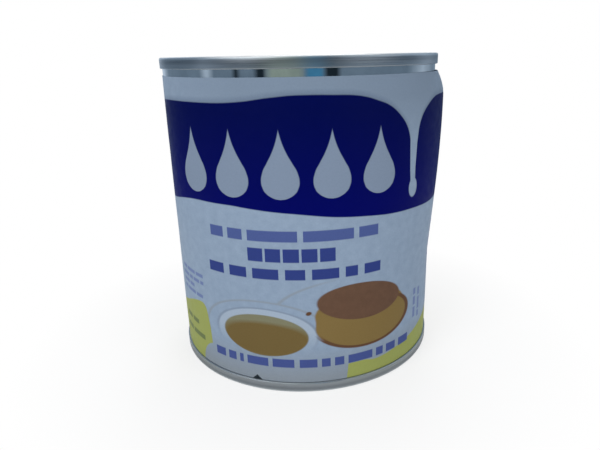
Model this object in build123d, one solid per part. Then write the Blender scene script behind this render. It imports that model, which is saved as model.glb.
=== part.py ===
from build123d import *
from math import cos, degrees, pi, radians, sin
import os

# A shut, full can for sweetened condensed milk: a straight tinplate body with a double seamed,
# countersunk end at top and bottom and a paper label that has worked loose on one side.
# Millimetres, +Z up, origin at the middle of the ring that the can stands on.

# ---- Can ----
can_height = 82.0            # over both double seams
body_radius = 36.5           # outside of the tinplate wall

# ---- Double seam, the same at both ends ----
seam_height = 2.7
seam_stand_out = 0.6         # how far it stands out past the wall
seam_thickness = 1.25        # five layers of rolled plate, measured across the rim
seam_crown_round = 0.5       # the rolled edge that the can stands on or is stacked on
seam_skirt_round = 0.25      # the hem of the roll, next to the wall

# ---- End panel ----
end_thickness = 0.22
panel_depth = 3.1            # from the crown of the seam down to the flat of the panel
groove_drop = 1.0            # from there down to the floor of the groove inside the seam
groove_width = 1.5
chuck_wall_lean = 0.3        # how far the wall inside the seam leans in on its way to the groove
panel_rim_width = 1.2        # slope from the groove up to the panel
panel_bend_radius = 0.4      # outer face of every bend in the panel

# ---- Expansion rings pressed in the panel ----
ring_count = 2
ring_margin = 3.85           # flat left between the panel's rim and the outermost ring
ring_width = 4.6
ring_spacing = 8.4           # from one ring's outer foot to the next
ring_rise = 0.5
ring_slope_width = 1.1

# ---- Paper label ----
paper_thickness = 0.14
label_gap = 0.05             # air between the wall and the paper
label_foot_gap = 0.06        # bare strip between the lower seam and the paper
label_head_gap = 1.69        # and between the paper and the upper seam
lap_width = 9.0              # glued overlap where the paper's ends meet
lap_angle = 152.0            # middle of the overlap, counted round from +X

# ---- Slack in the label, where the paper stands off the wall ----
slack_angle = 2.0            # middle of the slack, counted round from +X
slack_half_width = 75.0      # degrees from there to where the paper lies flat again
slack_stand_off = 2.15       # at its fullest
slack_full_drop = 6.2        # from the label's top edge down to the fullest line
slack_foot_drop = 49.5       # from the label's top edge down to where it lies flat again
slack_steps = 8              # outlines from the foot of the slack up to the fullest line
shoulder_steps = 4           # and from there up to the top edge
outline_steps = 36           # steps across the slack in each outline

# ---- Nick torn in the label's lower edge ----
nick_angle = -111.2          # counted round from +X
nick_width = 2.6
nick_height = 1.3

seam_outer_radius = body_radius + seam_stand_out
seam_inner_radius = seam_outer_radius - seam_thickness
paper_inner_radius = body_radius + label_gap
paper_outer_radius = paper_inner_radius + paper_thickness
label_bottom = seam_height + label_foot_gap
label_top = can_height - seam_height - label_head_gap


def panel_line():
    """Outer face of the top end from the axis out to the crown of its seam."""
    panel = can_height - panel_depth
    groove = panel - groove_drop
    groove_outer = seam_inner_radius - chuck_wall_lean
    groove_inner = groove_outer - groove_width
    panel_radius = groove_inner - panel_rim_width
    points = [(0, panel)]
    for index in reversed(range(ring_count)):
        outer = panel_radius - ring_margin - index * ring_spacing
        inner = outer - ring_width
        points += [(inner, panel), (inner + ring_slope_width, panel + ring_rise),
                   (outer - ring_slope_width, panel + ring_rise), (outer, panel)]
    points += [(panel_radius, panel), (groove_inner, groove),
               (groove_outer, groove), (seam_inner_radius, can_height - seam_height),
               (seam_inner_radius, can_height - seam_crown_round)]
    return FilletPolyline(*points, radius=panel_bend_radius)


def seam_block():
    """The square block that the top end's seam is rolled within."""
    middle = Pos((seam_inner_radius + seam_outer_radius) / 2, can_height - seam_height / 2)
    return middle * Rectangle(seam_thickness, seam_height)


def end_section():
    """Half of the top end cut through: the pressed sheet and its rolled seam."""
    outer_face = Wire(panel_line().edges())
    sheet = make_face(outer_face.offset_2d(end_thickness, side=Side.LEFT, closed=True))
    block = seam_block()
    block = fillet(block.vertices().group_by(Axis.Y)[-1], seam_crown_round)
    skirt = block.vertices().group_by(Axis.Y)[0].sort_by(Axis.X)[-1]
    return sheet + fillet(skirt, seam_skirt_round)


def space_section():
    """The open space above the top end's panel, inside its seam."""
    line = panel_line()
    lid = Polyline(line @ 1, (seam_inner_radius, can_height), (0, can_height), line @ 0)
    return make_face(line + lid)


def bottom_twin(section):
    """The same section at the other end of the can."""
    return mirror(section, Plane.XZ.offset(-can_height / 2))


def body_section():
    """Half of the closed can without its ends: the wall, and the milk up to both panels."""
    filled = Pos(body_radius / 2, can_height / 2) * Rectangle(body_radius, can_height)
    above = end_section() + space_section() + seam_block()
    return filled - above - bottom_twin(above)


def polar(reach, angle):
    """The point at this distance from the axis and this angle round from +X."""
    return reach * cos(radians(angle)), reach * sin(radians(angle))


def stand_off(height, away):
    """How far the paper stands off the wall at a height, this many degrees from mid-slack."""
    full = label_top - slack_full_drop
    foot = label_top - slack_foot_drop
    if height > full:
        level = (label_top - height) / slack_full_drop
    else:
        level = max(0, (height - foot) / (full - foot))
    across = cos(away / slack_half_width * pi / 2) ** 2
    return slack_stand_off * sin(level * pi / 2) * across


def outline(height, radius):
    """The label's outline at one height: a spline over the slack, an arc where it lies flat."""
    slack = []
    for step in range(outline_steps + 1):
        away = slack_half_width * (2 * step / outline_steps - 1)
        slack.append(polar(radius + stand_off(height, away), slack_angle + away))
    ways = [polar(1, slack_angle + side * slack_half_width + 90) for side in (-1, 1)]
    flat = ThreePointArc(slack[-1], polar(radius, slack_angle + 180), slack[0])
    return Pos(0, 0, height) * make_face(Spline(*slack, tangents=ways) + flat)


def paper_drum(radius):
    """Everything inside the label, out to its inner or its outer face."""
    full = label_top - slack_full_drop
    foot = label_top - slack_foot_drop
    rise = [foot + (full - foot) * step / slack_steps for step in range(slack_steps)]
    shoulder = [full + slack_full_drop * step / shoulder_steps for step in range(shoulder_steps)]
    heights = [label_bottom] + rise + shoulder + [label_top]
    return loft([outline(height, radius) for height in heights], ruled=True)


def lap():
    """The paper's outer end, glued over its inner end."""
    half = degrees(lap_width / 2 / paper_outer_radius)
    root = paper_outer_radius - paper_thickness / 2
    ring = Circle(paper_outer_radius + paper_thickness) - Circle(root)
    sides = [polar(2 * paper_outer_radius, lap_angle + turn) for turn in (-half, half)]
    wedge = make_face(Polyline((0, 0), *sides, close=True))
    return Pos(0, 0, label_bottom) * extrude(ring & wedge, label_top - label_bottom)


def nick():
    """The three-cornered bite torn out of the lower edge."""
    below_edge = -nick_height
    tear = make_face(Polyline((-nick_width / 2, below_edge), (-nick_width / 2, 0), (0, nick_height),
                              (nick_width / 2, 0), (nick_width / 2, below_edge), close=True))
    bite = extrude(Plane.XZ * tear, body_radius / 2, both=True)
    return Rot(0, 0, nick_angle + 90) * Pos(0, -paper_outer_radius, label_bottom) * bite


def turned(section):
    """A section drawn with X as radius and Y as height, turned round the can's axis."""
    return revolve(Plane.XZ * section, Axis.Z)


def top_end():
    return turned(end_section())


def bottom_end():
    return turned(bottom_twin(end_section()))


def can_body():
    return turned(body_section())


def label():
    paper = paper_drum(paper_outer_radius) - paper_drum(paper_inner_radius)
    return paper + lap() - nick()


os.makedirs("parts", exist_ok=True)
for name, make in {"can_body": can_body, "top_end": top_end, "bottom_end": bottom_end,
                   "label": label}.items():
    export_step(make(), f"parts/{name}.step")
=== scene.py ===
from math import cos, degrees, pi, radians, sin, tan

import bmesh
import bpy
from mathutils import Matrix, Vector


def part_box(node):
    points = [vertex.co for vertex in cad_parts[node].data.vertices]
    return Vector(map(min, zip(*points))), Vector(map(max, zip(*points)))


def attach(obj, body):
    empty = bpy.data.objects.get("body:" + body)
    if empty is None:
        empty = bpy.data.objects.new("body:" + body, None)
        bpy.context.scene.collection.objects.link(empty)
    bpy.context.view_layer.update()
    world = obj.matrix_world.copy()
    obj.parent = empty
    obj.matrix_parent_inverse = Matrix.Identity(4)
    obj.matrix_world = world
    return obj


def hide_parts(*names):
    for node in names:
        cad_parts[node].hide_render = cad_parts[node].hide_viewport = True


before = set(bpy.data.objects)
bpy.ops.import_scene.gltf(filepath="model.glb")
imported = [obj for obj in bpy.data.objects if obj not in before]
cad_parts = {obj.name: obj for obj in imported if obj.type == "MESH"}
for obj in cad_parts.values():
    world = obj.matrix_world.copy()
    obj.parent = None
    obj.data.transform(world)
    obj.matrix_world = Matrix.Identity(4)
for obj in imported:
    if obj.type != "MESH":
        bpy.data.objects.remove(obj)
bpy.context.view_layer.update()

mm = 0.001
paperLow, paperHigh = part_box("label")
_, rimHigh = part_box("top_end")
canHeight = rimHigh.z
seamRadius = rimHigh.x
paperRadius = -paperLow.y      # outer face of the label where it lies flat on the wall
print(f"Frame loaded: a can {canHeight / mm:.1f} mm tall and {2 * seamRadius / mm:.1f} mm across its seams")

scene = bpy.context.scene
scene.view_settings.view_transform = "Standard"


def linearColour(code):
    # sRGB hex to the linear values that a shader takes
    shares = [int(code[place:place + 2], 16) / 255 for place in (1, 3, 5)]
    return [s / 12.92 if s <= 0.04045 else ((s + 0.055) / 1.055) ** 2.4 for s in shares] + [1]


def newTree(name):
    # an empty node tree in a new material
    material = bpy.data.materials.new(name)
    material.use_nodes = True
    material.node_tree.nodes.clear()
    return material, material.node_tree


def addNode(tree, kind, inputs=None, **settings):
    # a node with its settings, and its sockets either given a value or linked
    node = tree.nodes.new(kind)
    for name, value in settings.items():
        setattr(node, name, value)
    for name, value in (inputs or {}).items():
        if isinstance(value, bpy.types.NodeSocket):
            tree.links.new(value, node.inputs[name])
        else:
            node.inputs[name].default_value = value
    return node


def span(side, low, high):
    # the two ends of a range, as a Map Range node takes them on its From or its To side
    return {f"{side} Min": low, f"{side} Max": high}


def startPiece(name):
    # the object just added becomes a named piece
    piece = bpy.context.object
    piece.name = name
    piece.data.name = name
    return piece


def pickFaces(piece, wanted):
    # selects, by place, faces of the piece that is in edit mode
    bpy.ops.mesh.select_mode(type="FACE")
    bpy.ops.mesh.select_all(action="DESELECT")
    for face in bmesh.from_edit_mesh(piece.data).faces:
        face.select_set(wanted(face.calc_center_median()))
    bmesh.update_edit_mesh(piece.data)


def applyModifiers(piece):
    bpy.context.view_layer.objects.active = piece
    for modifier in list(piece.modifiers):
        bpy.ops.object.modifier_apply(modifier=modifier.name)


# Tinplate: cold rolled steel, tinned and bright. Rolling leaves fine straight marks in it and the
# tin's crystals a faint cloudiness, so its mirror is streaky and never quite even.
tinLook = {
    "bright": "#C6CBCD",
    "dull": "#B2B8BB",
    "cloud": 7 * mm,
    "cloudSpan": (0.35, 0.65),    # the part of the noise that goes from dull to bright
    "rollingMark": 0.45 * mm,     # coarser than real marks so that it shows
    "rollingRun": 18 * mm,
    "markSpan": (0.3, 0.7),       # the part of the noise that goes from smooth to rough
    "markDepth": 0.0015 * mm,
    "markStrength": 0.6,
    "noiseRoughness": 0.55,
    "wallRoughness": (0.03, 0.06),
    "creaseShade": "#333A40",           # painted shade in the crease over the lower seam
    "creaseShadeHeights": (5.3 * mm, 4.5 * mm),
    "creaseShadeRoughness": 0.5,
    "panelRoughness": (0.13, 0.24),
}


def scaledNoise(tree, place, spacings, detail):
    # a noise with its own spacing each way
    scaled = addNode(tree, "ShaderNodeMapping", {
        "Vector": place, "Scale": [1 / spacing for spacing in spacings]}).outputs["Vector"]
    return addNode(tree, "ShaderNodeTexNoise", {
        "Vector": scaled, "Scale": 1, "Detail": detail,
        "Roughness": tinLook["noiseRoughness"]}).outputs["Fac"]


def cleanTin(tree, place):
    # the plate's own tone and its rolling marks
    look = tinLook
    clouds = scaledNoise(tree, place, (look["cloud"],) * 3, 4)
    share = addNode(tree, "ShaderNodeMapRange", {"Value": clouds, **span("From", *look["cloudSpan"])})
    tone = addNode(tree, "ShaderNodeMix", {
        0: share.outputs["Result"], 6: linearColour(look["dull"]), 7: linearColour(look["bright"])},
        data_type="RGBA").outputs[2]
    marks = scaledNoise(tree, place, (look["rollingRun"], look["rollingMark"], look["rollingMark"]), 3)
    return tone, marks


def wallTinplate():
    look = tinLook
    material, tree = newTree("wallTinplate")
    place = addNode(tree, "ShaderNodeTexCoord").outputs["Object"]
    tone, marks = cleanTin(tree, place)
    height = addNode(tree, "ShaderNodeSeparateXYZ", {0: place}).outputs["Z"]
    # painted shade: the wall turns dark and dull towards the crease over the lower seam
    creaseShade = addNode(tree, "ShaderNodeMapRange", {
        "Value": height, **span("From", *look["creaseShadeHeights"])}).outputs["Result"]
    clean = addNode(tree, "ShaderNodeMapRange", {
        "Value": marks, **span("From", *look["markSpan"]), **span("To", *look["wallRoughness"])})
    gloss = addNode(tree, "ShaderNodeMix", {
        0: creaseShade, 2: clean.outputs["Result"], 3: look["creaseShadeRoughness"]})
    colour = addNode(tree, "ShaderNodeMix", {
        0: creaseShade, 6: tone, 7: linearColour(look["creaseShade"])}, data_type="RGBA")
    shader = addNode(tree, "ShaderNodeBsdfPrincipled", {
        "Base Color": colour.outputs[2], "Metallic": 1, "Roughness": gloss.outputs[0]})
    addNode(tree, "ShaderNodeOutputMaterial", {"Surface": shader.outputs["BSDF"]})
    return material


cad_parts["can_body"].material_slots[0].material = wallTinplate()

# The can ends: pressed in rings, sunk in their rims, and each rim rolled up with the wall's edge into
# a double seam. Sizes from the crown of the seam and from the can's axis.
canEnd = {
    "seamHeight": 2.7 * mm,
    "seamThickness": 1.25 * mm,       # outside the end's own sheet
    "crownRound": 0.5 * mm,
    "skirtRound": 0.25 * mm,
    "sheet": 0.22 * mm,
    "panelDepth": 3.1 * mm,
    "grooveDrop": 1 * mm,
    "grooveWidth": 1.5 * mm,
    "wallLean": 0.3 * mm,
    "panelRim": 1.2 * mm,
    "bend": 0.4 * mm,
    "rings": (16 * mm, 24.4 * mm),    # inner foot of each raised ring
    "ringWidth": 4.6 * mm,
    "ringSlope": 1.1 * mm,
    "ringRise": 0.5 * mm,
    "turns": 192,
    "bendSteps": 4,
    # the seaming rolls have dulled the seam and left lines round it; crown and foot get a painted highlight
    "seamShadesAndHighlights": ((0, "#A6ACB0"), (0.3, "#9EA3A7"), (0.55, "#888D91"), (0.72, "#90959A"),
                   (0.87, "#C2C8CB"), (1, "#ECEFF0")),
    "seamRoughness": (0.26, 0.36),
    "seamBlend": (0.45 * mm, 0.25 * mm),    # inwards from the seam, where its finish takes over
    "rollLine": 0.16 * mm,
    "rollLineShades": (0.88, 1.08),
    "smoothUnder": 32,                # degrees, sharper bends than this stay sharp
}


def bentLine(corners):
    # straight runs between the corners (reach, height, bend), with each corner bent to an arc
    line = []
    for place, (reach, height, bend) in enumerate(corners):
        here = Vector((reach, height))
        if not bend:
            line.append(here)
            continue
        back = (Vector(corners[place - 1][:2]) - here).normalized()
        on = (Vector(corners[(place + 1) % len(corners)][:2]) - here).normalized()
        half = back.angle(on) / 2
        middle = here + (back + on).normalized() * bend / sin(half)
        first, last = [here + way * bend / tan(half) - middle for way in (back, on)]
        sweep = pi - 2 * half
        for step in range(canEnd["bendSteps"] + 1):
            share = step / canEnd["bendSteps"]
            turned = first * sin((1 - share) * sweep) + last * sin(share * sweep)
            line.append(middle + turned / sin(sweep))
    return line


def endSection():
    # half of the upper end cut through: its outer face, over the seam, and back along the inner face
    end = canEnd
    sheet, bend = end["sheet"], end["bend"]
    seamInner = seamRadius - end["seamThickness"]
    panel = canHeight - end["panelDepth"]
    groove = panel - end["grooveDrop"]
    grooveOuter = seamInner - end["wallLean"]
    grooveInner = grooveOuter - end["grooveWidth"]
    skirt = canHeight - end["seamHeight"]
    inside = [(0, panel, 0)]
    for inner in end["rings"]:
        outer = inner + end["ringWidth"]
        inside += [(inner, panel, bend), (inner + end["ringSlope"], panel + end["ringRise"], bend),
                   (outer - end["ringSlope"], panel + end["ringRise"], bend), (outer, panel, bend)]
    inside += [(grooveInner - end["panelRim"], panel, bend), (grooveInner, groove, bend)]
    outside = [(reach, height + sheet, bent) for reach, height, bent in inside]
    rim = [(grooveOuter - sheet, groove + sheet, bend), (seamInner - sheet, skirt, 0),
           (seamInner - sheet, canHeight, end["crownRound"]), (seamRadius, canHeight, end["crownRound"]),
           (seamRadius, skirt, end["skirtRound"]), (seamInner, skirt, 0), (grooveOuter, groove, bend)]
    return bentLine(outside + rim + inside[::-1])


def closeShell(piece):
    # poles and seams merged, all faces outwards
    bpy.ops.object.mode_set(mode="EDIT")
    bpy.ops.mesh.select_all(action="SELECT")
    bpy.ops.mesh.remove_doubles(threshold=0.002 * mm)
    bpy.ops.mesh.delete_loose(use_verts=True, use_edges=True, use_faces=False)
    bpy.ops.mesh.select_all(action="SELECT")
    bpy.ops.mesh.normals_make_consistent(inside=False)
    bpy.ops.object.mode_set(mode="OBJECT")
    bpy.ops.object.shade_smooth_by_angle(angle=radians(canEnd["smoothUnder"]))


def turnEnd():
    # the section spun once round the can's axis
    section = endSection()
    bpy.ops.object.select_all(action="DESELECT")
    bpy.ops.mesh.primitive_circle_add(vertices=len(section), radius=seamRadius)
    piece = startPiece("upperEnd")
    for vertex, (reach, height) in zip(piece.data.vertices, section):
        vertex.co = (reach, 0, height)
    bpy.ops.object.mode_set(mode="EDIT")
    bpy.ops.mesh.select_all(action="SELECT")
    bpy.ops.mesh.spin(steps=canEnd["turns"], angle=2 * pi, center=(0, 0, 0), axis=(0, 0, 1))
    bpy.ops.object.mode_set(mode="OBJECT")
    closeShell(piece)
    return piece


def twinBelow(upper):
    # the same end, mirrored to the can's foot
    bpy.ops.object.select_all(action="DESELECT")
    upper.select_set(True)
    bpy.context.view_layer.objects.active = upper
    bpy.ops.object.duplicate()
    piece = startPiece("lowerEnd")
    piece.scale = (1, 1, -1)
    piece.location = (0, 0, canHeight)
    bpy.ops.object.transform_apply(location=True, rotation=True, scale=True)
    closeShell(piece)
    return piece


def endTinplate():
    look, end = tinLook, canEnd
    material, tree = newTree("endTinplate")
    place = addNode(tree, "ShaderNodeTexCoord").outputs["Object"]
    tone, marks = cleanTin(tree, place)
    level = addNode(tree, "ShaderNodeVectorMath", {0: place, 1: (1, 1, 0)}, operation="MULTIPLY").outputs[0]
    reach = addNode(tree, "ShaderNodeVectorMath", {0: level}, operation="LENGTH").outputs["Value"]
    inner = seamRadius - end["seamThickness"] - end["sheet"]
    blend = [inner - inwards for inwards in end["seamBlend"]]
    seam = addNode(tree, "ShaderNodeMapRange", {"Value": reach, **span("From", *blend)}).outputs["Result"]
    # up the seam from its skirt to its crown, the same at both ends of the can
    height = addNode(tree, "ShaderNodeSeparateXYZ", {0: place}).outputs["Z"]
    away = addNode(tree, "ShaderNodeMath", {0: height, 1: canHeight / 2}, operation="SUBTRACT").outputs[0]
    away = addNode(tree, "ShaderNodeMath", {0: away}, operation="ABSOLUTE").outputs[0]
    up = addNode(tree, "ShaderNodeMapRange", {
        "Value": away, **span("From", canHeight / 2 - end["seamHeight"], canHeight / 2)})
    # the seam's colour up its height, with a painted highlight at its crown and at its foot
    ramp = addNode(tree, "ShaderNodeValToRGB", {0: up.outputs["Result"]})
    stops = ramp.color_ramp.elements
    stops[0].color = linearColour(end["seamShadesAndHighlights"][0][1])
    stops[1].color = linearColour(end["seamShadesAndHighlights"][-1][1])
    for share, shade in end["seamShadesAndHighlights"][1:-1]:
        stops.new(share).color = linearColour(shade)
    lines = scaledNoise(tree, place, (look["rollingRun"], look["rollingRun"], end["rollLine"]), 2)
    shade = addNode(tree, "ShaderNodeMapRange", {
        "Value": lines, **span("From", *look["markSpan"]), **span("To", *end["rollLineShades"])})
    lined = addNode(tree, "ShaderNodeMix", {
        0: 1, 6: ramp.outputs["Color"], 7: shade.outputs["Result"]},
        data_type="RGBA", blend_type="MULTIPLY")
    colour = addNode(tree, "ShaderNodeMix", {0: seam, 6: tone, 7: lined.outputs[2]}, data_type="RGBA")
    panelGloss = addNode(tree, "ShaderNodeMapRange", {
        "Value": marks, **span("From", *look["markSpan"]), **span("To", *look["panelRoughness"])})
    seamGloss = addNode(tree, "ShaderNodeMapRange", {
        "Value": lines, **span("From", *look["markSpan"]), **span("To", *end["seamRoughness"])})
    gloss = addNode(tree, "ShaderNodeMix", {
        0: seam, 2: panelGloss.outputs["Result"], 3: seamGloss.outputs["Result"]})
    # the panel has the marks in relief, the seam is level
    relief = addNode(tree, "ShaderNodeMix", {0: seam, 2: marks, 3: 0.5})
    bump = addNode(tree, "ShaderNodeBump", {
        "Height": relief.outputs[0], "Strength": look["markStrength"], "Distance": look["markDepth"]})
    shader = addNode(tree, "ShaderNodeBsdfPrincipled", {
        "Base Color": colour.outputs[2], "Metallic": 1, "Roughness": gloss.outputs[0],
        "Normal": bump.outputs["Normal"]})
    addNode(tree, "ShaderNodeOutputMaterial", {"Surface": shader.outputs["BSDF"]})
    return material


upperEnd = turnEnd()
upperEnd.data.materials.append(endTinplate())
lowerEnd = twinBelow(upperEnd)
for end, nodeName in ((upperEnd, "top_end"), (lowerEnd, "bottom_end")):
    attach(end, "root")
    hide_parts(nodeName)
print("Wall and both ends in tinplate")

# The label is drawn flat, in millimetres: arc along the wall from the middle of its front, to the
# right, and height over the standing ring. The same face is printed twice round the can.
halfTurn = pi * paperRadius
printSheet = {
    "faceWidth": halfTurn / mm,
    "curveTop": 80,               # height that the curve nodes count as 1
    "softEdge": 0.12,
    "paper": "#92A4BA",
    "paperShade": "#8193A9",
    "paperTopShade": "#77879A",       # painted shade along its upper edge
    "topShadeHeights": (58, 73),
    "topShadeLeft": ((-42, -14), (0.3, 0.95)),    # the painted shade is less towards both sides: from arc to arc, how much
    "topShadeRight": ((36, 57), (1, 0.32)),
    "paperNearFoot": "#858D95",     # and greyer towards its foot
    "nearFootHeights": (13, 4),
    "nearFootShares": (0, 0.85),
    "bareMargin": 0.8,            # unprinted, along the sheet's outer end
    "bareEdge": "#9CABBD",
    "bandBlue": "#000746",
    "bandBlueLow": "#000459",
    "bandBlueHeights": (48, 70),
    "bandTop": ((-57.6, 71.2), (-44, 72), (-30, 72.2), (-22.8, 72.2), (-13.5, 72.6), (-7.2, 73.4),
                (0, 73.9), (6.2, 73.8), (13.6, 73.3), (18, 72.1), (21.1, 70.9), (24.2, 68.6),
                (26.6, 65.8), (28.1, 61.5), (28.9, 51), (30.1, 51), (30.5, 60.5), (31.6, 66.3),
                (34.6, 69.8), (39.5, 72), (46, 72.2), (57.6, 71.2)),
    "bandFoot": ((-57.6, 45), (-44.2, 46.6), (-33, 48.5), (-26.9, 48.9), (-19.2, 48.9), (-13, 48.5),
                 (-7.6, 48), (-0.9, 47.4), (7, 46.4), (15.4, 45.7), (22, 45.2), (30, 45), (40, 44.7),
                 (57.6, 45)),
    "pourShade": "#4E5D76",       # the soft shade along the edge of the poured milk
    "pourShadeLift": 0.5,
    "pourShadeSoftness": 0.9,
    "pourShadeDepth": 0.6,
    "pourShadeHeights": (53, 60),
    "drip": ((29.7, 50.5, 1.6, 2.4, 0), (29.5, 53, 0.9, 4.6, 0)),    # its bead, and the neck above
    "yellow": "#959D5A",
    "yellowTop": ((-57.6, 13), (-50, 14.6), (-45.8, 16.1), (-41.1, 17.6), (-35.5, 19.6), (-31.4, 20.3),
                  (-29.9, 19.6), (-28.9, 16.5), (-28, 11), (-27.4, 0), (9.6, 0), (10.3, 6.9), (14, 7),
                  (18.5, 6.3), (25.8, 7.1), (32.1, 8.1), (39.3, 9.6), (46, 10.8), (57.6, 13)),
    "yellowNotch": (-26.4, 2, 6.4, 7.4, 0),
    "drop": (-5.2, 50.9, 16, 4.5),      # middle of the row, foot, height and half width of each drop
    "dropPitch": 11.9,
    "dropCount": 5,
    "dropShape": ((0, 0), (0.01, 0.28), (0.035, 0.5), (0.08, 0.73), (0.15, 0.91), (0.26, 1),
                  (0.38, 0.92), (0.52, 0.67), (0.66, 0.4), (0.82, 0.17), (1, 0)),
    "dropColour": "#7B8A9F",
}
# the serving picture: middle, half width, half height and turn in degrees of each oval
ovals = {
    "plateLine": (13, 20.6, 21.8, 10.4, 0),
    "saucerLine": (-11.5, 15.6, 17.4, 9.4, -1),
    "bowl": (-11.2, 15.8, 13.8, 7.3, -1),
    "custard": (-11.2, 15.7, 11.4, 5.7, -1),
    "foam": (-11, 14.6, 12.3, 4.7, -1),
    "flanFoot": (15.9, 17.9, 13.9, 6.6, 0),
    "flanWaist": (14.9, 20.9, 13, 5.9, -1),
    "flanHip": (15.5, 19.3, 13.4, 6.3, -1),
    "flanTop": (14.3, 24, 11.9, 4.9, -4),
    "crumb": (0.4, 22.2, 0.75, 0.5, 20),
}
picture = {
    "lineHeights": (12, 17),      # the plate and saucer show as a fine line from here up
    "lineArcs": (1, 9),           # and fade out to the right
    "plateLine": 0.45,
    "bowlLine": 0.4,
    "foamFade": 0.12,
    "caramelLine": 0.7,           # the caramel that has run down round the flan's foot
    "caramelHeight": 15.2,
    "caramelFade": 1,
    "caramelArcs": (20, 27),
}
printColours = {
    "line": "#8793A0",
    "china": "#9DACBE",
    "chinaShade": "#7F8EA2",
    "custard": "#6E5D39",
    "foam": "#7B7A63",
    "flanSide": "#7D6940",
    "flanRim": "#5E4433",
    "flanTop": "#5A4437",
    "flanTopLight": "#6B5141",
    "smallInk": "#4A598E",
    "faintInk": "#6A7AA4",
    "heavyInk": "#303E7C",
    "netInk": "#44528A",
    "greenInk": "#69754C",
}
# rows of plain bars where the pack has words: left end and foot of the row, its length and height,
# its turn in degrees, how many letters long each bar is, and its ink
barRows = [
    (-25, 40.7, 43.4, 2.7, 0, (3, 3, 9, 9, 4), "smallInk"),
    (-14.2, 35.6, 21.4, 3.4, 0, (7, 7, 7, 7, 7), "heavyInk"),
    (-26.4, 31.1, 45.7, 2.7, 0, (3, 3, 4, 3, 4, 2, 3), "heavyInk"),
    (-26.7, 7, 57.5, 2.4, 0, (3, 2, 1, 5, 5, 4, 2, 2, 6, 2, 3, 4), "netInk"),
    (-42.5, 27.4, 12.6, 1, 0, (5, 8, 6), "faintInk"),
    (-42.5, 25.4, 12.6, 1, 0, (8, 4, 6, 3), "faintInk"),
    (-42.5, 23.4, 7.5, 1, 0, (7, 5), "faintInk"),
    (-42.5, 21.4, 11.8, 1, 0, (4, 9, 6), "faintInk"),
    (-43, 12.4, 8.6, 1.4, 0, (5, 5), "greenInk"),
    (-44, 8.6, 12.4, 1.5, 0, (6, 9), "greenInk"),
    (34.6, 12.6, 8.8, 1.3, 90, (5, 4, 3), "faintInk"),
    (37.4, 11.8, 9, 1.3, 90, (3, 6, 4), "faintInk"),
    (45.5, 36.5, 11.5, 1.2, 0, (6, 9, 4), "smallInk"),
    (45.5, 34, 11.5, 1.2, 0, (9, 4, 7), "smallInk"),
    (45.5, 31.5, 11.5, 1.2, 0, (5, 8, 6), "smallInk"),
    (45.5, 29, 11.5, 1.2, 0, (8, 3, 9), "smallInk"),
    (45.5, 26.5, 7, 1.2, 0, (4, 7), "smallInk"),
]


def softStep(tree, value, edge, softness):
    # 1 below the edge, 0 above it
    return addNode(tree, "ShaderNodeMapRange", {
        "Value": value, **span("From", edge - softness, edge + softness),
        **span("To", 1, 0)}).outputs["Result"]


def shared(tree, *masks):
    # 1 only where all the masks are
    overlap = masks[0]
    for mask in masks[1:]:
        overlap = addNode(tree, "ShaderNodeMath", {0: overlap, 1: mask}, operation="MULTIPLY").outputs[0]
    return overlap


def ovalReach(tree, flat, oval):
    # 0 at the oval's middle and 1 on its line
    middleArc, middleHeight, halfWidth, halfHeight, turn = oval
    squashed = addNode(tree, "ShaderNodeMapping", {
        "Vector": flat, "Location": (middleArc, middleHeight, 0), "Rotation": (0, 0, radians(turn)),
        "Scale": (halfWidth, halfHeight, 1)}, vector_type="TEXTURE").outputs["Vector"]
    return addNode(tree, "ShaderNodeVectorMath", {0: squashed}, operation="LENGTH").outputs["Value"]


def ovalFill(tree, flat, oval):
    # 1 within the oval
    return softStep(tree, ovalReach(tree, flat, oval), 1, printSheet["softEdge"] / min(oval[2:4]))


def ovalLine(tree, flat, oval, width):
    # a thin line along the oval
    away = addNode(tree, "ShaderNodeMath", {0: ovalReach(tree, flat, oval), 1: 1}, operation="SUBTRACT")
    away = addNode(tree, "ShaderNodeMath", {0: away.outputs[0]}, operation="ABSOLUTE").outputs[0]
    return softStep(tree, away, width / 2 / oval[3], printSheet["softEdge"] / oval[3])


def drawnCurve(tree, value, points):
    # a smooth line through the points, both ways from 0 to 1
    line = addNode(tree, "ShaderNodeFloatCurve", {"Value": value})
    curve = line.mapping.curves[0]
    while len(curve.points) < len(points):
        curve.points.new(0.5, 0.5)
    for spot, place in zip(curve.points, points):
        spot.location = place
        spot.handle_type = "AUTO_CLAMPED"
    line.mapping.update()
    return line.outputs[0]


def underCurve(tree, arc, height, points, lift=0, softness=printSheet["softEdge"]):
    # 1 where the height is under a smooth line drawn through the points and lifted a little
    width, top = printSheet["faceWidth"], printSheet["curveTop"]
    along = addNode(tree, "ShaderNodeMapRange", {"Value": arc, **span("From", -width / 2, width / 2)})
    places = [(across / width + 0.5, up / top) for across, up in points]
    line = drawnCurve(tree, along.outputs["Result"], places)
    over = addNode(tree, "ShaderNodeMath", {0: line, 1: -top, 2: height}, operation="MULTIPLY_ADD")
    return softStep(tree, over.outputs[0], lift, softness)


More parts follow.
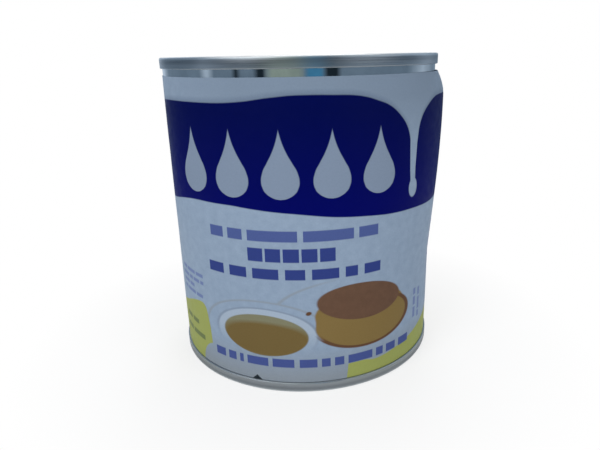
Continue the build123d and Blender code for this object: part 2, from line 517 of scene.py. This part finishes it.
def dropRow(tree, arc, height):
    # a row of plain milk drops, all alike
    middle, foot, tall, halfWidth = printSheet["drop"]
    pitch, soft = printSheet["dropPitch"], printSheet["softEdge"]
    along = addNode(tree, "ShaderNodeMath", {0: arc, 1: middle}, operation="SUBTRACT").outputs[0]
    away = addNode(tree, "ShaderNodeMath", {0: along}, operation="ABSOLUTE").outputs[0]
    inRow = softStep(tree, away, printSheet["dropCount"] * pitch / 2, soft)
    own = addNode(tree, "ShaderNodeMath", {0: along, 1: pitch / 2, 2: -pitch / 2}, operation="WRAP")
    aside = addNode(tree, "ShaderNodeMath", {0: own.outputs[0]}, operation="ABSOLUTE").outputs[0]
    rise = addNode(tree, "ShaderNodeMapRange", {"Value": height, **span("From", foot, foot + tall)})
    reach = drawnCurve(tree, rise.outputs["Result"], printSheet["dropShape"])
    over = addNode(tree, "ShaderNodeMath", {0: reach, 1: -halfWidth, 2: aside}, operation="MULTIPLY_ADD")
    return shared(tree, inRow, softStep(tree, over.outputs[0], -soft, soft))


def wordBars(tree, flat, row):
    # one plain bar a word, with a gap of one letter between them
    left, foot, length, tall, turn, letters, _ = row
    black, white = (0, 0, 0, 1), (1, 1, 1, 1)
    framed = addNode(tree, "ShaderNodeMapping", {
        "Vector": flat, "Location": (left, foot, 0), "Rotation": (0, 0, radians(turn)),
        "Scale": (length, tall, 1)}, vector_type="TEXTURE")
    parted = addNode(tree, "ShaderNodeSeparateXYZ", {0: framed.outputs["Vector"]})
    ramp = addNode(tree, "ShaderNodeValToRGB", {0: parted.outputs["X"]})
    ramp.color_ramp.interpolation = "CONSTANT"
    stops = ramp.color_ramp.elements
    stops[0].color = black
    stops[1].position, stops[1].color = 1, black
    letter = 1 / (sum(letters) + len(letters) - 1)
    margin = 0.002                # keeps the row's first and last stops apart from the ramp's ends
    start = margin
    for count in letters:
        stops.new(start).color = white
        stops.new(min(start + count * letter, 1 - margin)).color = black
        start += (count + 1) * letter
    middle = addNode(tree, "ShaderNodeMath", {0: parted.outputs["Y"], 1: 0.5}, operation="SUBTRACT")
    middle = addNode(tree, "ShaderNodeMath", {0: middle.outputs[0]}, operation="ABSOLUTE")
    within = softStep(tree, middle.outputs[0], 0.5, printSheet["softEdge"] / tall)
    return shared(tree, ramp.outputs["Color"], within)


def paint(tree, under, mask, colour):
    # the next colour laid over the print so far, each a hex value or a socket
    low, high = [c if isinstance(c, bpy.types.NodeSocket) else linearColour(c) for c in (under, colour)]
    return addNode(tree, "ShaderNodeMix", {0: mask, 6: low, 7: high}, data_type="RGBA").outputs[2]


# Coated label paper: offset printed and varnished. It gives broad soft highlights, a faint mottle
# in the solid inks and the slight waviness of paper that has taken up damp.
paperLook = {
    "roughness": (0.38, 0.5),
    "mottle": 2.2,                # mm, cloudiness of the solid inks
    "mottleSpan": (0.3, 0.7),     # the part of that noise that goes from glossy to dull
    "fibre": 0.45,                # mm, coarser than real fibres so that it shows
    "fibreSpan": (0.25, 0.75),
    "fibreShades": (0.96, 1.03),
    "fibreDepth": 0.012 * mm,
    "cockle": 11,                 # mm, the waves of damp paper
    "cockleDepth": 0.12 * mm,
    "reliefStrength": 0.5,
    "specular": 0.03,
}


def coatedPaper(outerEnd):
    look, sheet, ink = paperLook, printSheet, printColours
    material, tree = newTree("coatedLabelPaper")
    flat = addNode(tree, "ShaderNodeUVMap", uv_map="wrap").outputs["UV"]
    parted = addNode(tree, "ShaderNodeSeparateXYZ", {0: flat})
    height = parted.outputs["Y"]
    half = sheet["faceWidth"] / 2
    arc = addNode(tree, "ShaderNodeMath", {
        0: parted.outputs["X"], 1: half, 2: -half}, operation="WRAP").outputs[0]
    face = addNode(tree, "ShaderNodeCombineXYZ", {0: arc, 1: height}).outputs[0]
    mottle, fibre, cockle = [addNode(tree, "ShaderNodeTexNoise", {
        "Vector": flat, "Scale": 1 / look[name], "Detail": detail}).outputs["Fac"]
        for name, detail in (("mottle", 3), ("fibre", 2), ("cockle", 1))]

    # bare paper, with painted shade along its upper edge and greyer towards its foot
    colour = paint(tree, sheet["paper"], mottle, sheet["paperShade"])
    # painted shade: the upper edge darker, less so towards both sides
    topShadeLeft, topShadeRight = [addNode(tree, "ShaderNodeMapRange", {
        "Value": arc, **span("From", *arcs), **span("To", *shares)}).outputs["Result"]
        for arcs, shares in (sheet["topShadeLeft"], sheet["topShadeRight"])]
    topShadeRise = addNode(tree, "ShaderNodeMapRange", {"Value": height, **span("From", *sheet["topShadeHeights"])})
    topShade = shared(tree, topShadeLeft, topShadeRight, topShadeRise.outputs["Result"])
    colour = paint(tree, colour, topShade, sheet["paperTopShade"])
    # greyer towards the foot of the sheet
    nearFoot = addNode(tree, "ShaderNodeMapRange", {
        "Value": height, **span("From", *sheet["nearFootHeights"]), **span("To", *sheet["nearFootShares"])})
    colour = paint(tree, colour, nearFoot.outputs["Result"], sheet["paperNearFoot"])

    # the plate and saucer show only as a fine line above and to the left
    upper = addNode(tree, "ShaderNodeMapRange", {
        "Value": height, **span("From", *picture["lineHeights"])}).outputs["Result"]
    early = addNode(tree, "ShaderNodeMapRange", {
        "Value": arc, **span("From", *picture["lineArcs"]), **span("To", 1, 0)}).outputs["Result"]
    plate, saucer = [shared(tree, ovalLine(tree, face, ovals[name], picture["plateLine"]), upper, early)
                     for name in ("plateLine", "saucerLine")]
    clearOfSaucer = addNode(tree, "ShaderNodeMath", {
        0: 1, 1: ovalFill(tree, face, ovals["saucerLine"])}, operation="SUBTRACT").outputs[0]
    colour = paint(tree, colour, shared(tree, plate, clearOfSaucer), ink["line"])
    colour = paint(tree, colour, saucer, ink["line"])
    clearOfNotch = addNode(tree, "ShaderNodeMath", {
        0: 1, 1: ovalFill(tree, face, sheet["yellowNotch"])}, operation="SUBTRACT").outputs[0]
    yellow = shared(tree, underCurve(tree, arc, height, sheet["yellowTop"]), clearOfNotch)
    colour = paint(tree, colour, yellow, sheet["yellow"])

    # the bowl of custard; the light skin along its far side fades into the custard
    colour = paint(tree, colour, shared(tree, ovalFill(tree, face, ovals["bowl"]), upper), ink["china"])
    bowlLine = shared(tree, ovalLine(tree, face, ovals["bowl"], picture["bowlLine"]), upper)
    colour = paint(tree, colour, bowlLine, ink["chinaShade"])
    bowlFill = ovalFill(tree, face, ovals["custard"])
    colour = paint(tree, colour, bowlFill, ink["foam"])
    deep = softStep(tree, ovalReach(tree, face, ovals["foam"]), 1, picture["foamFade"])
    colour = paint(tree, colour, shared(tree, deep, bowlFill), ink["custard"])
    colour = paint(tree, colour, ovalFill(tree, face, ovals["crumb"]), ink["flanRim"])

    # the flan, its caramel on top and run down round its foot
    for name in ("flanFoot", "flanHip", "flanWaist"):
        colour = paint(tree, colour, ovalFill(tree, face, ovals[name]), ink["flanSide"])
    low = softStep(tree, height, picture["caramelHeight"], picture["caramelFade"])
    onRight = addNode(tree, "ShaderNodeMapRange", {"Value": arc, **span("From", *picture["caramelArcs"])})
    where = addNode(tree, "ShaderNodeMath", {
        0: low, 1: onRight.outputs["Result"]}, operation="MAXIMUM").outputs[0]
    runDown = shared(tree, ovalLine(tree, face, ovals["flanFoot"], picture["caramelLine"]), where)
    colour = paint(tree, colour, runDown, ink["flanRim"])
    caramel = paint(tree, ink["flanTop"], mottle, ink["flanTopLight"])
    colour = paint(tree, colour, ovalFill(tree, face, ovals["flanTop"]), caramel)
    for row in barRows:
        colour = paint(tree, colour, wordBars(tree, face, row), ink[row[-1]])

    # the blue band, with the milk poured over it and the row of drops
    deeper = addNode(tree, "ShaderNodeMapRange", {
        "Value": height, **span("From", *sheet["bandBlueHeights"])})
    blue = paint(tree, sheet["bandBlueLow"], deeper.outputs["Result"], sheet["bandBlue"])
    shadeLine = underCurve(tree, arc, height, sheet["bandTop"], sheet["pourShadeLift"],
                           sheet["pourShadeSoftness"])
    shadeTop = addNode(tree, "ShaderNodeMapRange", {
        "Value": height, **span("From", *sheet["pourShadeHeights"])})
    shade = shared(tree, shadeLine, sheet["pourShadeDepth"], shadeTop.outputs["Result"])
    colour = paint(tree, colour, shade, sheet["pourShade"])
    band = underCurve(tree, arc, height, sheet["bandTop"])
    holes = [underCurve(tree, arc, height, sheet["bandFoot"])]
    holes += [ovalFill(tree, face, oval) for oval in sheet["drip"]]
    for hole in holes:
        clear = addNode(tree, "ShaderNodeMath", {0: 1, 1: hole}, operation="SUBTRACT")
        band = shared(tree, band, clear.outputs[0])
    colour = paint(tree, colour, band, blue)
    colour = paint(tree, colour, dropRow(tree, arc, height), sheet["dropColour"])
    margin = softStep(tree, parted.outputs["X"], outerEnd - sheet["bareMargin"], sheet["softEdge"])
    colour = paint(tree, sheet["bareEdge"], margin, colour)

    # the sheet's own grain, gloss and waviness
    grain = addNode(tree, "ShaderNodeMapRange", {
        "Value": fibre, **span("From", *look["fibreSpan"]), **span("To", *look["fibreShades"])})
    colour = addNode(tree, "ShaderNodeMix", {
        0: 1, 6: colour, 7: grain.outputs["Result"]}, data_type="RGBA", blend_type="MULTIPLY").outputs[2]
    gloss = addNode(tree, "ShaderNodeMapRange", {
        "Value": mottle, **span("From", *look["mottleSpan"]), **span("To", *look["roughness"])})
    waves = addNode(tree, "ShaderNodeBump", {
        "Height": cockle, "Strength": look["reliefStrength"], "Distance": look["cockleDepth"]})
    bump = addNode(tree, "ShaderNodeBump", {
        "Height": fibre, "Strength": look["reliefStrength"], "Distance": look["fibreDepth"],
        "Normal": waves.outputs["Normal"]})
    shader = addNode(tree, "ShaderNodeBsdfPrincipled", {
        "Base Color": colour, "Roughness": gloss.outputs["Result"], "Specular IOR Level": look["specular"],
        "Normal": bump.outputs["Normal"]})
    addNode(tree, "ShaderNodeOutputMaterial", {"Surface": shader.outputs["BSDF"]})
    return material


# The label: one sheet, cut and torn flat, eased off the wall, then rolled up and glued end on end.
labelSheet = {
    "thickness": 0.14 * mm,
    "columns": 240,
    "rows": 50,
    "lapWidth": 9 * mm,
    "lapMiddle": -118,            # degrees to the right of the front's middle
    "lapRise": 0.18 * mm,
    "lapEase": 1.2 * mm,          # over which the outer end climbs onto the inner one
    "nickTurn": -21.2,            # degrees, as above
    "nickWidth": 2.6 * mm,
    "nickHeight": 1.3 * mm,
    "slackMiddle": 92,            # degrees, where the paper has come away
    "slackHalfWidth": 75,
    "slackStandOff": 2.5 * mm,    # at its fullest
    "slackFullDrop": 6.2 * mm,    # down from the top edge to the fullest line
    "slackFootDrop": 49.5 * mm,   # and to where it lies flat again
    "slackAtEdge": 0.14,          # the share of its fullest that the paper's free upper edge keeps
    "unevenness": 0.16 * mm,
    "unevenScale": 20 * mm,
    "unevenReach": 24 * mm,       # in from the sheet's sides, and half that from its top and foot
    "smoothUnder": 35,            # degrees
}


def slackShare(turn, height):
    # how much of the full stand-off the paper has at a turn in degrees and a height
    sheet = labelSheet
    away = (turn - sheet["slackMiddle"]) / sheet["slackHalfWidth"]
    if abs(away) > 1:
        return 0
    full = paperHigh.z - sheet["slackFullDrop"]
    foot = paperHigh.z - sheet["slackFootDrop"]
    if height > full:
        share = (paperHigh.z - height) / sheet["slackFullDrop"]
        level = sheet["slackAtEdge"] + (1 - sheet["slackAtEdge"]) * share
    else:
        level = (height - foot) / (full - foot)
    return sin(max(0, level) * pi / 2) * cos(away * pi / 2) ** 2


def paperLabel():
    # the flat sheet lies across X and up Z, with the middle of the front at X = 0
    sheet = labelSheet
    halfLap = sheet["lapWidth"] / 2
    left = radians(sheet["lapMiddle"]) * paperRadius - halfLap
    right = left + 2 * halfTurn + sheet["lapWidth"]
    foot, top = paperLow.z, paperHigh.z
    bpy.ops.object.select_all(action="DESELECT")
    bpy.ops.mesh.primitive_grid_add(
        x_subdivisions=sheet["columns"], y_subdivisions=sheet["rows"], size=1,
        location=((left + right) / 2, 0, (foot + top) / 2), rotation=(pi / 2, 0, 0))
    piece = startPiece("paperLabel")
    piece.scale = (right - left, top - foot, 1)
    bpy.ops.object.transform_apply(location=True, rotation=True, scale=True)

    # the torn nick: two slanting cuts through the lower edge, and what lies between them removed
    tip = Vector((radians(sheet["nickTurn"]) * paperRadius, 0, foot + sheet["nickHeight"]))
    halfNick = sheet["nickWidth"] / 2
    bpy.ops.object.mode_set(mode="EDIT")
    for side in (-1, 1):
        pickFaces(piece, lambda spot: abs(spot.x - tip.x) < 2 * halfNick and spot.z < tip.z + halfNick)
        slant = Vector((side * sheet["nickHeight"], 0, halfNick)).normalized()
        bpy.ops.mesh.bisect(plane_co=tip, plane_no=slant)
    pickFaces(piece, lambda spot: spot.z < tip.z - abs(spot.x - tip.x) * sheet["nickHeight"] / halfNick)
    bpy.ops.mesh.delete(type="FACE")
    bpy.ops.object.mode_set(mode="OBJECT")

    # the print lies on the flat sheet, in millimetres
    wrap = piece.data.uv_layers.active
    wrap.name = "wrap"
    for loop in piece.data.loops:
        spot = piece.data.vertices[loop.vertex_index].co
        wrap.data[loop.index].uv = (spot.x / mm, spot.z / mm)

    # how far each point takes part in the slack, the lap and the sheet's own unevenness
    slack, lap, uneven = [piece.vertex_groups.new(name=name) for name in ("slack", "lap", "uneven")]
    lapStart = right - sheet["lapWidth"] - sheet["lapEase"]
    for vertex in piece.data.vertices:
        spot = vertex.co
        slack.add([vertex.index], slackShare(degrees(spot.x / paperRadius), spot.z), "REPLACE")
        lap.add([vertex.index], min(1, max(0, (spot.x - lapStart) / sheet["lapEase"])), "REPLACE")
        inside = min(spot.x - left, right - spot.x, 2 * (spot.z - foot), 2 * (top - spot.z))
        uneven.add([vertex.index], min(1, max(0, inside / sheet["unevenReach"])), "REPLACE")
    for name, strength in (("slack", sheet["slackStandOff"]), ("lap", sheet["lapRise"])):
        lift = piece.modifiers.new(name, "DISPLACE")
        lift.vertex_group, lift.strength, lift.mid_level = name, strength, 0
    clouds = bpy.data.textures.new("paperUnevenness", "CLOUDS")
    clouds.noise_scale = sheet["unevenScale"]
    wave = piece.modifiers.new("uneven", "DISPLACE")
    wave.texture, wave.vertex_group = clouds, "uneven"
    wave.strength, wave.mid_level = sheet["unevenness"], 0
    # rolled up round the can, then given its thickness on the side of the wall
    roll = piece.modifiers.new("roll", "SIMPLE_DEFORM")
    roll.deform_method, roll.deform_axis, roll.angle = "BEND", "Z", (right - left) / paperRadius
    applyModifiers(piece)
    piece.location = (0, -paperRadius, 0)
    bpy.ops.object.transform_apply(location=True, rotation=False, scale=False)
    wall = piece.modifiers.new("wall", "SOLIDIFY")
    wall.thickness, wall.offset = sheet["thickness"], -1
    applyModifiers(piece)
    bpy.ops.object.shade_smooth_by_angle(angle=radians(sheet["smoothUnder"]))
    piece.data.materials.clear()
    piece.data.materials.append(coatedPaper(right / mm))
    layBakeMap(piece, left / mm, right / mm)
    return piece


# the map the finished label is baked through, in shares of the map: the outer face takes two rows,
# the left half of the sheet below and the right half above, and the back a sliver over them
bakeMap = {
    "left": 0.005,
    "width": 0.99,
    "faceFeet": (0.005, 0.48),
    "faceHeight": 0.46,
    "backFoot": 0.955,
    "backHeight": 0.03,
}


def layBakeMap(piece, left, right):
    wrap = piece.data.uv_layers["wrap"]
    bake = piece.data.uv_layers.new(name="OFBake")
    middle = (left + right) / 2
    foot, top = paperLow.z / mm, paperHigh.z / mm
    for face in piece.data.polygons:
        spots = [wrap.data[loop].uv for loop in face.loop_indices]
        onRight = sum(spot.x for spot in spots) / len(spots) > middle
        outwards = Vector((face.center.x, face.center.y, 0)).normalized()
        if face.normal.dot(outwards) > 0.5:
            start, width = middle if onRight else left, middle - left
            rowFoot, rowHeight = bakeMap["faceFeet"][onRight], bakeMap["faceHeight"]
        else:
            start, width = left, right - left
            rowFoot, rowHeight = bakeMap["backFoot"], bakeMap["backHeight"]
        for loop, spot in zip(face.loop_indices, spots):
            across, up = (spot.x - start) / width, (spot.y - foot) / (top - foot)
            bake.data[loop].uv = (bakeMap["left"] + bakeMap["width"] * across, rowFoot + rowHeight * up)


label = paperLabel()
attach(label, "root")
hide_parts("label")
print("Paper label printed, rolled and lapped")

# Stage: a pale floor, a room that only mirrors in the gloss, and soft lamps
stageLook = {
    "floor": "#EDEFF0",
    "floorSize": 3,
    "floorDrop": 0.2 * mm,          # clear of the ring that the can stands on
    "shadowReach": (0.038, 0.085),  # from the can's axis out to where the floor is plain white
    "shadowDepth": 0.25,
    "roomRadius": 0.17,
    "roomHeight": 0.26,
    "roomGlow": 1.5,
    "fill": 0.28,
    "lampSize": 0.5,
    "lamps": (("keyLamp", (-0.55, -0.6, 0.55), 5.2), ("fillLamp", (0.6, -0.5, 0.4), 2.5),
              ("backLamp", (0.1, 0.7, 0.6), 3.2)),
}


def paleFloor():
    look = stageLook
    bpy.ops.object.select_all(action="DESELECT")
    bpy.ops.mesh.primitive_plane_add(size=look["floorSize"], location=(0, 0, -look["floorDrop"]))
    floor = startPiece("paleFloor")
    material, tree = newTree("paleFloor")
    place = addNode(tree, "ShaderNodeTexCoord").outputs["Object"]
    reach = addNode(tree, "ShaderNodeVectorMath", {0: place}, operation="LENGTH")
    clear = addNode(tree, "ShaderNodeMapRange", {
        "Value": reach.outputs["Value"], **span("From", *look["shadowReach"]),
        **span("To", 1 - look["shadowDepth"], 1)})
    path = addNode(tree, "ShaderNodeLightPath")
    seen = addNode(tree, "ShaderNodeMath", {
        0: path.outputs["Is Camera Ray"], 1: path.outputs["Is Transmission Ray"]}, operation="MAXIMUM")
    share = addNode(tree, "ShaderNodeMath", {
        0: seen.outputs[0], 1: clear.outputs["Result"]}, operation="MULTIPLY")
    matt = addNode(tree, "ShaderNodeBsdfDiffuse", {"Color": linearColour(look["floor"])})
    white = addNode(tree, "ShaderNodeEmission", {"Color": (1, 1, 1, 1), "Strength": 1})
    mixed = addNode(tree, "ShaderNodeMixShader", {
        0: share.outputs[0], 1: matt.outputs[0], 2: white.outputs[0]})
    addNode(tree, "ShaderNodeOutputMaterial", {"Surface": mixed.outputs[0]})
    floor.data.materials.append(material)


# what the tin mirrors: a dim room in one grey blue, with a few plain things standing round it. Each
# thing is an even band: its middle going round from straight ahead, its width and how soft its sides
# are, all in degrees.
roomShades = {
    "wall": "#667686",
    "window": "#A4B2C2",
    "post": "#1C262E",
    "curtain": "#86928A",
    "board": "#40789A",
}
roomThings = (("window", -140, 20, 8), ("window", -70, 8, 3), ("post", -45, 4, 2), ("post", -27, 7, 2),
              ("curtain", -10, 24, 3), ("board", 10, 12, 2), ("post", 22, 10, 2), ("window", 108, 20, 12))


def mirroredRoom():
    look = stageLook
    bpy.ops.object.select_all(action="DESELECT")
    bpy.ops.mesh.primitive_cylinder_add(
        vertices=64, radius=look["roomRadius"], depth=look["roomHeight"], end_fill_type="NOTHING",
        location=(0, 0, look["roomHeight"] / 2))
    room = startPiece("mirroredRoom")
    material, tree = newTree("mirroredRoom")
    place = addNode(tree, "ShaderNodeTexCoord").outputs["Object"]
    parted = addNode(tree, "ShaderNodeSeparateXYZ", {0: place})
    ahead = addNode(tree, "ShaderNodeMath", {0: parted.outputs["Y"], 1: -1}, operation="MULTIPLY")
    turn = addNode(tree, "ShaderNodeMath", {
        0: parted.outputs["X"], 1: ahead.outputs[0]}, operation="ARCTAN2")
    bearing = addNode(tree, "ShaderNodeMath", {0: turn.outputs[0]}, operation="DEGREES").outputs[0]
    colour = linearColour(roomShades["wall"])
    for shade, middle, width, softness in roomThings:
        away = addNode(tree, "ShaderNodeMath", {0: bearing, 1: middle}, operation="SUBTRACT").outputs[0]
        away = addNode(tree, "ShaderNodeMath", {0: away}, operation="ABSOLUTE").outputs[0]
        band = softStep(tree, away, width / 2, softness)
        colour = addNode(tree, "ShaderNodeMix", {
            0: band, 6: colour, 7: linearColour(roomShades[shade])}, data_type="RGBA").outputs[2]
    glow = addNode(tree, "ShaderNodeEmission", {"Color": colour, "Strength": look["roomGlow"]})
    addNode(tree, "ShaderNodeOutputMaterial", {"Surface": glow.outputs[0]})
    room.data.materials.append(material)
    # only the gloss sees the room
    room.visible_camera = False
    room.visible_diffuse = False
    room.visible_transmission = False
    room.visible_shadow = False


def softLamps():
    # white discs turned to the middle of the can
    middle = Vector((0, 0, canHeight / 2))
    for name, place, power in stageLook["lamps"]:
        bpy.ops.object.light_add(type="AREA", location=place)
        lamp = bpy.context.object
        lamp.name = name
        lamp.data.shape = "DISK"
        lamp.data.size = stageLook["lampSize"]
        lamp.data.energy = power
        lamp.rotation_euler = (middle - Vector(place)).to_track_quat("-Z", "Y").to_euler()


def softRoom():
    # white to the camera and in the gloss, and a dimmer fill on everything else
    world = scene.world or bpy.data.worlds.new("softRoom")
    scene.world = world
    world.use_nodes = True
    tree = world.node_tree
    tree.nodes.clear()
    path = addNode(tree, "ShaderNodeLightPath")
    seen = addNode(tree, "ShaderNodeMath", {
        0: path.outputs["Is Camera Ray"], 1: path.outputs["Is Glossy Ray"]}, operation="MAXIMUM")
    seen = addNode(tree, "ShaderNodeMath", {
        0: seen.outputs[0], 1: path.outputs["Is Transmission Ray"]}, operation="MAXIMUM")
    strength = addNode(tree, "ShaderNodeMapRange", {
        "Value": seen.outputs[0], **span("To", stageLook["fill"], 1)})
    sky = addNode(tree, "ShaderNodeBackground", {
        "Color": (1, 1, 1, 1), "Strength": strength.outputs["Result"]})
    addNode(tree, "ShaderNodeOutputWorld", {"Surface": sky.outputs[0]})


paleFloor()
mirroredRoom()
softLamps()
softRoom()
print("Floor, mirrored room and lamps set")

# The camera stands close, level with the upper rim, and looks down at the can with a slight roll
cameraStand = {
    "back": 151.13 * mm,
    "up": 81.77 * mm,
    "lookDown": 18.47,            # degrees, as the next two
    "pan": 1.84,
    "roll": -1.08,
    "lens": 31.38,
    "sensor": 36,
    "shift": (-0.0343, 0.0089),
    "clip": 5 * mm,
}


def standCamera():
    stand = cameraStand
    bpy.ops.object.camera_add(location=(0, -stand["back"], stand["up"]))
    camera = bpy.context.object
    camera.name = "standCamera"
    camera.data.lens = stand["lens"]
    camera.data.sensor_width = stand["sensor"]
    camera.data.shift_x, camera.data.shift_y = stand["shift"]
    camera.data.clip_start = stand["clip"]
    turn = (Matrix.Rotation(radians(-stand["pan"]), 4, "Z")
            @ Matrix.Rotation(radians(90 - stand["lookDown"]), 4, "X")
            @ Matrix.Rotation(radians(stand["roll"]), 4, "Z"))
    camera.rotation_euler = turn.to_euler()
    scene.camera = camera


standCamera()
